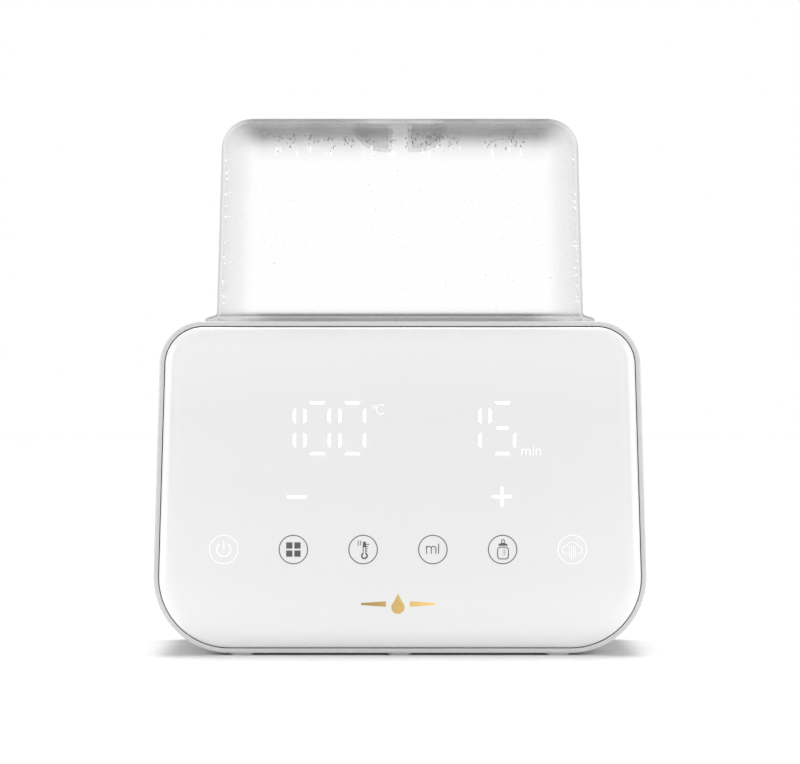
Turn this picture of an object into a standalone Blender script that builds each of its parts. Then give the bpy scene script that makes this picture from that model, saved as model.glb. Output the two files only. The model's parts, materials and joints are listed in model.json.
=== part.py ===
"""Two-bottle steam sterilizer and warmer, at rest with its lid on.

Units are metres, +Z is up and the touch panel faces -Y. The origin is on the surface that the
feet stand on, under the middle of the body. One named object is one physical piece.
"""

import math

import bmesh
import bpy
from mathutils import Matrix, Vector

MM = 0.001

# Body: a rounded trapezoid seen from the front, a little wider at the foot than at the top
BODY_DEPTH = 150 * MM
BODY_LOW = 1.0 * MM
BODY_HIGH = 167.0 * MM
BODY_HALF_LOW = 124.5 * MM
BODY_HALF_HIGH = 119.6 * MM
BODY_RADIUS_LOW = 38 * MM
BODY_RADIUS_HIGH = 22 * MM
HOUSING_WALL = 2.4 * MM
HOUSING_HALF_DEPTH = 70.5 * MM

# Front and rear covers: shells that sit inside the housing's ends, crowned towards their edges
COVER_INSET = 3.0 * MM
COVER_WALL = 2.2 * MM
COVER_SKIRT = 8.5 * MM
CROWN_BAND = 9.0 * MM
FRONT_CROWN = 4.5 * MM
REAR_CROWN = 2.5 * MM

# Lid: a drafted rounded box with a flared foot
LID_FOOT = 167.3 * MM
LID_WALL_LOW = 176.0 * MM
LID_TOP = 270.85 * MM
LID_CROWN = 0.8 * MM
LID_HALF_X = 92.8 * MM
LID_HALF_Y = 58.0 * MM
LID_RADIUS = 22.0 * MM
LID_TOP_ROUNDING = 15.0 * MM
LID_DRAFT = 0.029
LID_WALL = 2.0 * MM
DIP_CENTRE = 8.0 * MM
DIP_RADII = (15.0 * MM, 18.0 * MM, 13.5 * MM)
GRIP_HALF_WIDTH = 6.0 * MM
STEAM_HOLE_X = 12.0 * MM

# Water chamber: an open-bottomed pot that hangs in the housing by its rim
CHAMBER_HALF_X = 87.0 * MM
CHAMBER_RADIUS = 45.0 * MM
CHAMBER_WALL = 2.2 * MM
CHAMBER_DRAFT = 0.014
CHAMBER_FLOOR = 66.0 * MM
RIM_HALF_X = 92.4 * MM
RIM_HALF_Y = 57.4 * MM
RIM_RADIUS = 21.6 * MM
RIM_THICKNESS = 1.5 * MM
DRAIN_HALF_X = 70.0 * MM
DRAIN_RADIUS = 28.0 * MM

# Lift-out bottle baskets
BASKET_CENTRE_X = 42.5 * MM
BASKET_RADIUS = 41.4 * MM
BASKET_WALL = 1.5 * MM
BASKET_LOW = 69.0 * MM
BASKET_FLOOR = 73.0 * MM
BASKET_RIM = 158.0 * MM
GRIP_HIGH = 164.0 * MM

# Heating plate and what is fixed under it
PLATE_LOW = 61.0 * MM
PLATE_THICKNESS = 3.0 * MM
PLATE_HALF_X = 80.0 * MM
PLATE_RADIUS = 38.0 * MM
LUG_X = 45.0 * MM
LUG_Y = 52.5 * MM
ELEMENT_RADIUS = 3.3 * MM

# Base plate, feet and boards
BASE_LOW = 1.6 * MM
BASE_THICKNESS = 3.4 * MM
BASE_HALF_X = 86.0 * MM
BASE_HALF_Y = 54.0 * MM
BASE_SCREW_X = 64.0 * MM
BASE_SCREW_Y = 47.0 * MM
FOOT_X = 79.0 * MM
FOOT_Y = 63.5 * MM
FOOT_SIZE = 12.2 * MM
FOOT_HIGH = 2.0 * MM
POWER_BOARD_LOW = 12.0 * MM
BOARD_THICKNESS = 1.6 * MM
BOARD_POSTS = [(x * MM, y * MM) for x in (-62, 8) for y in (-22, 30)]
CONTROL_BOARD_FRONT = -66.3 * MM
DISPLAY_FRONT = -72.5 * MM

# Touch keys, as (x, z) on the panel, in the order of the row under the display
KEY_ROW_Z = 52.8 * MM
KEY_PITCH = 34.8 * MM
STEP_KEY_X = 51.0 * MM
STEP_KEY_Z = 79.0 * MM
DIGIT_Z = 113.0 * MM
KEY_NAMES = ("power", "mode", "temperature", "volume", "bottle", "steam")

# Cord gland
GLAND_X = 62.0 * MM
GLAND_Z = 22.0 * MM
GLAND_HOLE = 5.4 * MM

GAP = 0.3 * MM
CORNER_STEPS = 7
ROUND_STEPS = 22


# ---------------------------------------------------------------- scene and materials


def clear_scene():
    for obj in list(bpy.data.objects):
        bpy.data.objects.remove(obj)


def new_collection(name):
    collection = bpy.data.collections.new(name)
    bpy.context.scene.collection.children.link(collection)
    return collection


def material(name, colour, roughness, metallic=0.0, alpha=1.0):
    made = bpy.data.materials.new(name)
    made.use_nodes = True
    shader = made.node_tree.nodes["Principled BSDF"]
    shader.inputs["Base Color"].default_value = (*colour, 1.0)
    shader.inputs["Roughness"].default_value = roughness
    shader.inputs["Metallic"].default_value = metallic
    shader.inputs["Alpha"].default_value = alpha
    made.diffuse_color = (*colour, alpha)
    return made


clear_scene()
STERILIZER = new_collection("bottle_sterilizer")
CUTTERS = new_collection("cutters")
PANEL_WHITE = material("panel_white", (0.84, 0.84, 0.85), 0.18)
HOUSING_GREY = material("housing_grey", (0.58, 0.58, 0.59), 0.45)
COVER_WHITE = material("cover_white", (0.80, 0.80, 0.81), 0.40)
LID_CLEAR = material("lid_clear", (0.85, 0.86, 0.87), 0.20, alpha=0.35)
CHAMBER_WHITE = material("chamber_white", (0.82, 0.82, 0.80), 0.35)
BASKET_SAND = material("basket_sand", (0.72, 0.62, 0.50), 0.40)
RUBBER_GREY = material("rubber_grey", (0.55, 0.55, 0.55), 0.80)
SILICONE = material("silicone", (0.75, 0.75, 0.73), 0.60)
PLATE_COATED = material("plate_coated", (0.30, 0.30, 0.31), 0.40, 0.6)
STEEL = material("steel", (0.62, 0.62, 0.63), 0.30, 1.0)
BOARD_GREEN = material("board_green", (0.03, 0.19, 0.09), 0.50)
PART_BLACK = material("part_black", (0.03, 0.03, 0.03), 0.45)
LEAD_RED = material("lead_red", (0.45, 0.04, 0.03), 0.50)
LEAD_BLUE = material("lead_blue", (0.03, 0.10, 0.42), 0.50)
LEAD_GREEN = material("lead_green", (0.20, 0.42, 0.06), 0.50)


# ---------------------------------------------------------------- outlines


def filleted(corners, radii, steps=CORNER_STEPS):
    """Points round a convex outline with its corners rounded; each corner has steps + 1 points."""
    points = []
    for i, corner in enumerate(corners):
        back = (corners[i - 1] - corner).normalized()
        ahead = (corners[(i + 1) % len(corners)] - corner).normalized()
        half_angle = back.angle(ahead) / 2
        reach = radii[i] / math.tan(half_angle)
        centre = corner + (back + ahead).normalized() * radii[i] / math.sin(half_angle)
        start = corner + back * reach - centre
        end = corner + ahead * reach - centre
        points += [centre + start.slerp(end, k / steps) * radii[i] for k in range(steps + 1)]
    return points


def drawn_in(corners, distance):
    """The corners of a convex anticlockwise outline moved in by a distance on every side."""
    moved = []
    for i, corner in enumerate(corners):
        along = (corner - corners[i - 1]).normalized()
        onward = (corners[(i + 1) % len(corners)] - corner).normalized()
        normal = Vector((-along.y, along.x))
        bisector = (normal + Vector((-onward.y, onward.x))).normalized()
        moved.append(corner + bisector * distance / bisector.dot(normal))
    return moved


def body_outline(inset=0.0):
    """The body seen from the front, as (x, z), drawn in by inset."""
    corners = [
        Vector((-BODY_HALF_LOW, BODY_LOW)),
        Vector((BODY_HALF_LOW, BODY_LOW)),
        Vector((BODY_HALF_HIGH, BODY_HIGH)),
        Vector((-BODY_HALF_HIGH, BODY_HIGH)),
    ]
    low, high = BODY_RADIUS_LOW - inset, BODY_RADIUS_HIGH - inset
    return filleted(drawn_in(corners, inset), (low, low, high, high))


def rounded_rectangle(half_x, half_y, radius, steps=CORNER_STEPS):
    corners = [
        Vector((-half_x, -half_y)),
        Vector((half_x, -half_y)),
        Vector((half_x, half_y)),
        Vector((-half_x, half_y)),
    ]
    return filleted(corners, [radius] * len(corners), steps)


def stadium(half_x, radius, steps=2 * CORNER_STEPS):
    """An outline with two straight sides and two half-round ends, as a very round rectangle."""
    return rounded_rectangle(half_x, radius, radius * 0.999, steps // 2 + 1)


def level(outline, z):
    """A plan outline, (x, y), placed at a height."""
    return [Vector((p.x, p.y, z)) for p in outline]


def upright(outline, y):
    """A front outline, (x, z), placed at a depth."""
    return [Vector((p.x, y, p.y)) for p in outline]


# ---------------------------------------------------------------- solids


def add_object(name, mesh, finish, collection=None):
    obj = bpy.data.objects.new(name, mesh)
    if finish:
        mesh.materials.append(finish)
    (collection or STERILIZER).objects.link(obj)
    return obj


def mesh_of(name, bm):
    mesh = bpy.data.meshes.new(name)
    bm.to_mesh(mesh)
    bm.free()
    return mesh


def skin(name, rings, finish, cap_first=False, cap_last=False):
    """A surface lofted through closed rings of equal count, with its faces pointing out."""
    bm = bmesh.new()
    loops = []
    for ring in rings:
        corners = [bm.verts.new(point) for point in ring]
        pairs = zip(corners, corners[1:] + corners[:1])
        loops.append([bm.edges.new(pair) for pair in pairs])
    for near, far in zip(loops, loops[1:]):
        bmesh.ops.bridge_loops(bm, edges=near + far)
    if cap_first:
        bmesh.ops.contextual_create(bm, geom=loops[0])
    if cap_last:
        bmesh.ops.contextual_create(bm, geom=loops[-1])
    bmesh.ops.recalc_face_normals(bm, faces=bm.faces)
    return add_object(name, mesh_of(name, bm), finish)


def solid(name, rings, finish):
    return skin(name, rings, finish, cap_first=True, cap_last=True)


def walled(obj, thickness):
    """Gives an open surface a wall on its inner side."""
    modifier = obj.modifiers.new("wall", "SOLIDIFY")
    modifier.thickness = thickness
    modifier.offset = -1.0
    modifier.use_even_offset = True
    modifier.use_quality_normals = True
    return obj


def bevelled(obj, width, segments=1, angle=40):
    modifier = obj.modifiers.new("edges", "BEVEL")
    modifier.width = width
    modifier.segments = segments
    modifier.limit_method = "ANGLE"
    modifier.angle_limit = math.radians(angle)
    return obj


def block(name, low, high, finish, edge=0.0):
    """A box between two corners, with its edges broken if edge is given."""
    low, high = Vector(low), Vector(high)
    bpy.ops.mesh.primitive_cube_add(size=1, location=(low + high) / 2)
    obj = bpy.context.object
    obj.name = obj.data.name = name
    obj.data.transform(scaling(high - low))
    take(obj, finish)
    return bevelled(obj, edge) if edge else obj


def scaling(size):
    return Matrix.Diagonal((*size, 1.0))


def take(obj, finish):
    """Moves a primitive into the sterilizer's collection and gives it its finish."""
    for collection in list(obj.users_collection):
        collection.objects.unlink(obj)
    STERILIZER.objects.link(obj)
    if finish:
        obj.data.materials.append(finish)


def rod(name, radius, start, end, finish, steps=ROUND_STEPS, edge=0.0):
    """A round bar from one point to another."""
    start, end = Vector(start), Vector(end)
    bpy.ops.mesh.primitive_cylinder_add(
        vertices=steps, radius=radius, depth=(end - start).length, location=(start + end) / 2
    )
    obj = bpy.context.object
    obj.name = obj.data.name = name
    obj.rotation_mode = "QUATERNION"
    obj.rotation_quaternion = (end - start).to_track_quat("Z", "Y")
    take(obj, finish)
    return bevelled(obj, edge) if edge else obj


def turned(name, profile, location, finish, steps=ROUND_STEPS, along="Z"):
    """A profile of (radius, height) points, from its top down its outer side, turned about its axis."""
    mesh = bpy.data.meshes.new(name)
    points = [(radius, 0.0, height) for radius, height in profile]
    mesh.from_pydata(points, [(i, (i + 1) % len(points)) for i in range(len(points))], [])
    obj = add_object(name, mesh, finish)
    obj.location = location
    if along == "Y":
        obj.rotation_euler = (-math.pi / 2, 0, 0)
    modifier = obj.modifiers.new("turn", "SCREW")
    modifier.steps = modifier.render_steps = steps
    modifier.use_merge_vertices = True
    modifier.merge_threshold = 0.00001
    return obj


def wire(name, route, radius, finish, steps=2, resolution=2):
    """A round lead or bar along a smooth curve through the route's points."""
    points = smooth_route([Vector(p) for p in route], steps)
    curve = bpy.data.curves.new(name, "CURVE")
    curve.dimensions = "3D"
    curve.bevel_depth = radius
    curve.bevel_resolution = resolution
    curve.use_fill_caps = True
    spline = curve.splines.new("POLY")
    spline.points.add(len(points) - 1)
    for spot, point in zip(spline.points, points):
        spot.co = (*point, 1.0)
    curve.materials.append(finish)
    obj = bpy.data.objects.new(name, curve)
    STERILIZER.objects.link(obj)
    return obj


def smooth_route(route, steps):
    """Points along the Catmull-Rom curve through the route."""
    ends = [2 * route[0] - route[1], *route, 2 * route[-1] - route[-2]]
    points = []
    for a, b, c, d in zip(ends, ends[1:], ends[2:], ends[3:]):
        for k in range(steps):
            t = k / steps
            points.append(
                0.5
                * (
                    2 * b
                    + (c - a) * t
                    + (2 * a - 5 * b + 4 * c - d) * t**2
                    + (3 * b - a - 3 * c + d) * t**3
                )
            )
    return [*points, route[-1]]


def combine(obj, tool, operation):
    """Cuts a tool from the object, or joins it on, and puts the tool away with the cutters."""
    modifier = obj.modifiers.new(tool.name, "BOOLEAN")
    modifier.operation = operation
    modifier.object = tool
    for collection in list(tool.users_collection):
        collection.objects.unlink(tool)
    CUTTERS.objects.link(tool)
    tool.hide_render = True
    tool.display_type = "WIRE"
    return obj


def cut(obj, *tools):
    for tool in tools:
        combine(obj, tool, "DIFFERENCE")
    return obj


def join(obj, *tools):
    for tool in tools:
        combine(obj, tool, "UNION")
    return obj


# ---------------------------------------------------------------- housing and covers


def make_housing():
    """The open-ended shell round the body, with the chamber's opening above and the base's below."""
    ends = (-HOUSING_HALF_DEPTH, HOUSING_HALF_DEPTH)
    housing = skin("main_housing", [upright(body_outline(), y) for y in ends], HOUSING_GREY)
    walled(housing, HOUSING_WALL)
    for x in (-BASE_SCREW_X, BASE_SCREW_X):
        for y in (-1, 1):
            near, far = sorted((y * 41 * MM, y * 61 * MM))
            low = (x - 8 * MM, near, BODY_LOW + 1 * MM)
            high = (x + 8 * MM, far, BASE_LOW + BASE_THICKNESS + 6 * MM)
            join(housing, block("base_tab", low, high, None))
    pocket_top = BASE_LOW + BASE_THICKNESS + GAP
    pocket = rounded_rectangle(BASE_HALF_X + GAP, BASE_HALF_Y + GAP, 6 * MM)
    cut(housing, solid("base_pocket", [level(pocket, -5 * MM), level(pocket, pocket_top)], None))
    for x in (-BASE_SCREW_X, BASE_SCREW_X):
        for y in (-BASE_SCREW_Y, BASE_SCREW_Y):
            cut(housing, rod("tab_hole", 1.5 * MM, (x, y, 0), (x, y, 20 * MM), None, 10))
    for x in (-FOOT_X, 0, FOOT_X):
        for y in (-FOOT_Y, FOOT_Y):
            half = FOOT_SIZE / 2 + GAP
            low, high = (x - half, y - half, -5 * MM), (x + half, y + half, FOOT_HIGH + GAP)
            cut(housing, block("foot_pocket", low, high, None))
    mouth = stadium(CHAMBER_HALF_X + 3.2 * MM, CHAMBER_RADIUS + 3.2 * MM)
    rings = [level(mouth, BODY_HIGH - 10 * MM), level(mouth, BODY_HIGH + 10 * MM)]
    return cut(housing, solid("chamber_mouth", rings, None))


def crowned_cover(name, side, crown, finish):
    """A cover for one end of the housing: side is -1 for the front and 1 for the back."""
    edge = HOUSING_HALF_DEPTH
    rings = [upright(body_outline(COVER_INSET + GAP / 2), side * (edge - COVER_SKIRT))]
    turns = 4
    for k in range(turns + 1):
        angle = math.pi / 2 * k / turns
        inset = COVER_INSET + CROWN_BAND * (1 - math.cos(angle))
        rings.append(upright(body_outline(inset), side * (edge + crown * math.sin(angle))))
    return walled(skin(name, rings, finish, cap_last=True), COVER_WALL)


def make_front_panel():
    """The glossy touch panel, with four posts inside it for the control board."""
    panel = crowned_cover("front_panel", -1, FRONT_CROWN, PANEL_WHITE)
    for x in (-94 * MM, 94 * MM):
        for z in (44 * MM, 126 * MM):
            ends = (x, -BODY_DEPTH / 2 + 1 * MM, z), (x, CONTROL_BOARD_FRONT - GAP, z)
            join(panel, rod("panel_post", 3 * MM, *ends, None, 12))
    return panel


def make_rear_cover():
    """The rear cover, with a row of air slots low down and a round hole for the cord gland."""
    cover = crowned_cover("rear_cover", 1, REAR_CROWN, COVER_WHITE)
    slots, pitch, first = 9, 9 * MM, -64 * MM
    for i in range(slots):
        x = first + i * pitch
        low = (x - 1.5 * MM, 60 * MM, 18 * MM)
        high = (x + 1.5 * MM, 90 * MM, 34 * MM)
        cut(cover, block("air_slot", low, high, None))
    hole_ends = (GLAND_X, 60 * MM, GLAND_Z), (GLAND_X, 90 * MM, GLAND_Z)
    return cut(cover, rod("gland_hole", GLAND_HOLE, *hole_ends, None))


def make_gland():
    """A rubber bush that is pressed into the rear cover from outside, with a bore for the cord."""
    outside = HOUSING_HALF_DEPTH + REAR_CROWN
    bore, neck, flange = 3.4 * MM, GLAND_HOLE - GAP, 8.0 * MM
    inner = outside - COVER_WALL - 4 * MM
    profile = [
        (bore, BODY_DEPTH / 2),
        (flange - 1 * MM, BODY_DEPTH / 2),
        (flange, BODY_DEPTH / 2 - 1 * MM),
        (flange, outside + GAP),
        (neck, outside + GAP),
        (neck - 0.8 * MM, inner),
        (bore, inner),
    ]
    return turned("cord_gland", profile, (GLAND_X, 0, GLAND_Z), RUBBER_GREY, 20, along="Y")


# ---------------------------------------------------------------- base


def make_base_plate():
    """The removable bottom, with air slots, countersunk screw holes and posts for the board."""
    outline = rounded_rectangle(BASE_HALF_X, BASE_HALF_Y, 6 * MM)
    top = BASE_LOW + BASE_THICKNESS
    plate = solid("base_plate", [level(outline, BASE_LOW), level(outline, top)], COVER_WHITE)
    for x, y in BOARD_POSTS:
        post_ends = (x, y, top - 1 * MM), (x, y, POWER_BOARD_LOW - GAP)
        join(plate, rod("board_post", 3 * MM, *post_ends, None, 12))
        pilot_ends = (x, y, top + 1 * MM), (x, y, POWER_BOARD_LOW + 5 * MM)
        cut(plate, rod("post_hole", 1.4 * MM, *pilot_ends, None, 8))
    for x in (-BASE_SCREW_X, BASE_SCREW_X):
        for y in (-BASE_SCREW_Y, BASE_SCREW_Y):
            cut(plate, rod("screw_hole", 1.8 * MM, (x, y, -5 * MM), (x, y, 20 * MM), None, 10))
            seat = rod("head_seat", 3.5 * MM, (x, y, -5 * MM), (x, y, BASE_LOW + 1.8 * MM), None, 14)
            cut(plate, seat)
    slots, pitch = 5, 10 * MM
    for i in range(slots):
        y = (i - (slots - 1) / 2) * pitch
        low, high = (18 * MM, y - 1.5 * MM, -5 * MM), (50 * MM, y + 1.5 * MM, 20 * MM)
        cut(plate, block("base_slot", low, high, None))
    return plate


def make_screw(name, x, y, head, tip, head_radius=3.0 * MM, shank_radius=1.1 * MM):
    """A pan-head screw with a cross recess in its outer face, whose shank runs from head to tip."""
    way = 1 if tip > head else -1
    under = head + way * 1.5 * MM
    screw = rod(name, head_radius, (x, y, head), (x, y, under), STEEL, 12)
    shank_ends = (x, y, under - way * 0.5 * MM), (x, y, tip)
    join(screw, rod(name + "_shank", shank_radius, *shank_ends, None, 8))
    bottom, top = sorted((head - way * 1 * MM, head + way * 0.7 * MM))
    for half_x, half_y in ((1.7 * MM, 0.35 * MM), (0.35 * MM, 1.7 * MM)):
        low, high = (x - half_x, y - half_y, bottom), (x + half_x, y + half_y, top)
        cut(screw, block(name + "_recess", low, high, None))
    return screw


def make_base_screws():
    places = [(x, y) for y in (-BASE_SCREW_Y, BASE_SCREW_Y) for x in (-BASE_SCREW_X, BASE_SCREW_X)]
    for number, (x, y) in enumerate(places, 1):
        make_screw(f"base_screw_{number}", x, y, BASE_LOW, BASE_LOW + BASE_THICKNESS + 5 * MM)


def make_feet():
    """Six rubber pads pressed into the housing's underside, in two rows of three."""
    half = FOOT_SIZE / 2
    for row, y in (("front", -FOOT_Y), ("rear", FOOT_Y)):
        for column, x in (("left", -FOOT_X), ("centre", 0.0), ("right", FOOT_X)):
            top = rounded_rectangle(half, half, 3 * MM, 3)
            sole = rounded_rectangle(half - 0.5 * MM, half - 0.5 * MM, 2.5 * MM, 3)
            rings = [level(sole, 0.0), level(top, 0.5 * MM), level(top, FOOT_HIGH)]
            foot = solid(f"foot_{row}_{column}", rings, RUBBER_GREY)
            foot.data.transform(shifted((x, y, 0)))


def shifted(offset):
    return Matrix.Translation(offset)


# ---------------------------------------------------------------- lid


def lid_ring(z, spread=0.0):
    """A level section of the lid at height z, spread outwards by a distance."""
    draft = max(0.0, z - LID_WALL_LOW) * LID_DRAFT
    half_x = LID_HALF_X - draft + spread
    half_y = LID_HALF_Y - draft + spread
    return level(rounded_rectangle(half_x, half_y, LID_RADIUS + spread), z)


def lid_rings():
    """Sections from the flared foot, up the drafted wall and over the rounded top edge."""
    flare = ((0, 6.0), (1.4, 6.0), (2.2, 4.4), (2.8, 1.6), (4.6, 0.0))
    rings = [lid_ring(LID_FOOT + rise * MM, spread * MM) for rise, spread in flare]
    shoulder = LID_TOP - LID_CROWN - LID_TOP_ROUNDING
    turns = 5
    for k in range(turns + 1):
        angle = math.pi / 2 * k / turns
        height = shoulder + LID_TOP_ROUNDING * math.sin(angle)
        inset = LID_TOP_ROUNDING * (1 - math.cos(angle))
        draft = (shoulder - LID_WALL_LOW) * LID_DRAFT
        outline = rounded_rectangle(
            LID_HALF_X - draft - inset, LID_HALF_Y - draft - inset, LID_RADIUS - inset
        )
        rings.append(level(outline, height))
    edge_x, edge_y = max(p.x for p in rings[-1]), max(p.y for p in rings[-1])
    for share in (0.5,):
        outline = rounded_rectangle(edge_x * share, edge_y * share, 5 * MM * share)
        rings.append(level(outline, LID_TOP - LID_CROWN * share**2))
    return rings


def dip_tool(name, side, grown):
    """An egg-shaped scoop in the lid's top that stops at the grip bar, made larger by grown."""
    bpy.ops.mesh.primitive_uv_sphere_add(segments=20, ring_count=10, radius=1)
    tool = bpy.context.object
    tool.name = tool.data.name = name
    tool.data.transform(scaling([radius + grown for radius in DIP_RADII]))
    tool.data.transform(shifted((side * DIP_CENTRE, 0, LID_TOP)))
    take(tool, None)
    reach, bar_face = 60 * MM, side * (GRIP_HALF_WIDTH - grown)
    left, right = sorted((bar_face, -side * reach))
    beyond = (left, -reach, LID_TOP - reach), (right, reach, LID_TOP + reach)
    return cut(tool, block(name + "_beyond", *beyond, None))


def dip_wall_tool(side):
    """The grown scoop without the part of it that would stand above the lid's top wall."""
    reach = 60 * MM
    above = (-reach, -reach, LID_TOP - 1.2 * MM), (reach, reach, LID_TOP + reach)
    return cut(dip_tool("dip_wall", side, LID_WALL), block("above_lid", *above, None))


def make_lid():
    """The clear lid: a shell with two finger dips beside a grip bar, and steam holes in the dips."""
    lid = walled(skin("lid", lid_rings(), LID_CLEAR, cap_last=True), LID_WALL)
    for side in (-1, 1):
        join(lid, dip_wall_tool(side))
    for side in (-1, 1):
        cut(lid, dip_tool("dip_scoop", side, 0.0))
    for x in (-STEAM_HOLE_X, STEAM_HOLE_X):
        hole = (x, 0, LID_TOP - 30 * MM), (x, 0, LID_TOP)
        cut(lid, rod("steam_hole", 1.5 * MM, *hole, None, 10))
    return lid


# ---------------------------------------------------------------- chamber and baskets


def chamber_ring(z, spread=0.0):
    draft = (BODY_HIGH - z) * CHAMBER_DRAFT
    outline = stadium(CHAMBER_HALF_X - draft + spread, CHAMBER_RADIUS - draft + spread)
    return level(outline, z)


def make_chamber():
    """The water chamber: a rim over the housing's opening, a drafted wall and a ring-shaped floor."""
    rim_low = BODY_HIGH + GAP
    rim = rounded_rectangle(RIM_HALF_X, RIM_HALF_Y, RIM_RADIUS, CORNER_STEPS + 1)
    chamber = solid(
        "water_chamber", [level(rim, rim_low), level(rim, rim_low + RIM_THICKNESS)], CHAMBER_WHITE
    )
    pot_rings = [chamber_ring(CHAMBER_FLOOR, CHAMBER_WALL), chamber_ring(rim_low + 1 * MM, CHAMBER_WALL)]
    join(chamber, solid("pot", pot_rings, None))
    for x in (-LUG_X, LUG_X):
        for y in (-LUG_Y, LUG_Y):
            inward = -1 if y > 0 else 1
            near, far = sorted((y - inward * 4.5 * MM, y + inward * 9 * MM))
            low, high = (x - 5 * MM, near, CHAMBER_FLOOR - 1.5 * MM), (x + 5 * MM, far, CHAMBER_FLOOR + 7 * MM)
            join(chamber, block("ear", low, high, None))
    inside = [chamber_ring(CHAMBER_FLOOR + CHAMBER_WALL), chamber_ring(BODY_HIGH + 9 * MM)]
    cut(chamber, solid("pot_inside", inside, None))
    drain = stadium(DRAIN_HALF_X, DRAIN_RADIUS)
    drain_rings = [level(drain, CHAMBER_FLOOR - 9 * MM), level(drain, CHAMBER_FLOOR + 9 * MM)]
    cut(chamber, solid("drain", drain_rings, None))
    for x in (-LUG_X, LUG_X):
        for y in (-LUG_Y, LUG_Y):
            ends = (x, y, CHAMBER_FLOOR - 9 * MM), (x, y, CHAMBER_FLOOR + 5 * MM)
            cut(chamber, rod("ear_hole", 1.5 * MM, *ends, None, 8))
    return chamber


def make_basket(name, x):
    """A perforated round basket with a holed floor, a rolled rim and two grip tabs."""
    bore = BASKET_RADIUS - BASKET_WALL
    rim = BASKET_RADIUS
    profile = [
        (bore, BASKET_RIM),
        (rim, BASKET_RIM),
        (rim, BASKET_RIM - 4 * MM),
        (rim - 0.5 * MM, BASKET_RIM - 5 * MM),
        (rim - 1.6 * MM, BASKET_LOW),
        (bore - 2.6 * MM, BASKET_LOW),
        (bore - 2.6 * MM, BASKET_FLOOR - BASKET_WALL),
        (14 * MM, BASKET_FLOOR - BASKET_WALL),
        (14 * MM, BASKET_FLOOR),
        (bore - 1.5 * MM, BASKET_FLOOR),
        (bore - 0.2 * MM, BASKET_RIM - 5 * MM),
    ]
    basket = turned(name, profile, (x, 0, 0), BASKET_SAND, 30)
    for side in (-1, 1):
        near, far = sorted((side * (bore - 0.1 * MM), side * (bore + 1.2 * MM)))
        low, high = (x - 11 * MM, near, BASKET_RIM - 3 * MM), (x + 11 * MM, far, GRIP_HIGH)
        join(basket, block(name + "_grip", low, high, None))
    windows = 3
    for k in range(windows):
        window = block(
            name + "_window", (-60 * MM, -8 * MM, 75 * MM), (60 * MM, 8 * MM, 147 * MM), None
        )
        window.location = (x, 0, 111 * MM)
        window.rotation_euler = (0, 0, math.pi * (k + 0.5) / windows)
        cut(basket, window)
    holes = 6
    for k in range(holes):
        angle = 2 * math.pi * k / holes
        spot = Vector((x + 26 * MM * math.cos(angle), 26 * MM * math.sin(angle), BASKET_FLOOR))
        reach = Vector((0, 0, 10 * MM))
        cut(basket, rod(name + "_hole", 5 * MM, spot - reach, spot + reach, None, 10))
    return basket


# ---------------------------------------------------------------- heater


def make_heating_plate():
    """The plate that closes the chamber from below, with a lug under each of the chamber's ears."""
    top = PLATE_LOW + PLATE_THICKNESS
    outline = stadium(PLATE_HALF_X, PLATE_RADIUS)
    plate = solid("heating_plate", [level(outline, PLATE_LOW), level(outline, top)], PLATE_COATED)
    for x in (-LUG_X, LUG_X):
        low, high = (x - 5 * MM, -LUG_Y - 5 * MM, PLATE_LOW), (x + 5 * MM, LUG_Y + 5 * MM, top - GAP)
        join(plate, block("lug", low, high, None))
        for y in (-LUG_Y, LUG_Y):
            cut(plate, rod("lug_hole", 1.5 * MM, (x, y, 0), (x, y, 0.1), None, 8))
    places = [(x, y) for y in (-LUG_Y, LUG_Y) for x in (-LUG_X, LUG_X)]
    for number, (x, y) in enumerate(places, 1):
        head = PLATE_LOW - GAP - 1.5 * MM
        make_screw(f"plate_screw_{number}", x, y, head, CHAMBER_FLOOR + 4 * MM, 2.7 * MM)
    return plate


def make_chamber_seal():
    """The flat ring pinched between the heating plate and the chamber's floor."""
    low = PLATE_LOW + PLATE_THICKNESS + GAP
    outline = stadium(77 * MM, 35 * MM)
    rings = [level(outline, low), level(outline, CHAMBER_FLOOR - GAP)]
    seal = solid("chamber_seal", rings, SILICONE)
    hole = stadium(DRAIN_HALF_X, DRAIN_RADIUS)
    return cut(seal, solid("seal_hole", [level(hole, low - 9 * MM), level(hole, low + 9 * MM)], None))


def arc(centre_x, radius, start, end, z, steps=6):
    """Points along a level arc about (centre_x, 0), with its angles in degrees."""
    angles = [math.radians(start + (end - start) * k / steps) for k in range(steps + 1)]
    return [Vector((centre_x + radius * math.cos(a), radius * math.sin(a), z)) for a in angles]


def make_heating_element():
    """A round tube looped under the heating plate, with its two ends turned down at the back."""
    z = PLATE_LOW - GAP - ELEMENT_RADIUS
    side, reach = 38 * MM, 24 * MM
    down = ((9, 14), (9, 7), (11, 2), (17, 0))
    left = [Vector((-x * MM, reach, z - drop * MM)) for x, drop in down]
    right = [Vector((x * MM, reach, z - drop * MM)) for x, drop in reversed(down)]
    loop = [*arc(-side, reach, 90, 270, z), *arc(side, reach, -90, 90, z)]
    return wire("heating_element", [*left, *loop, *right], ELEMENT_RADIUS, STEEL, 2)


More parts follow.
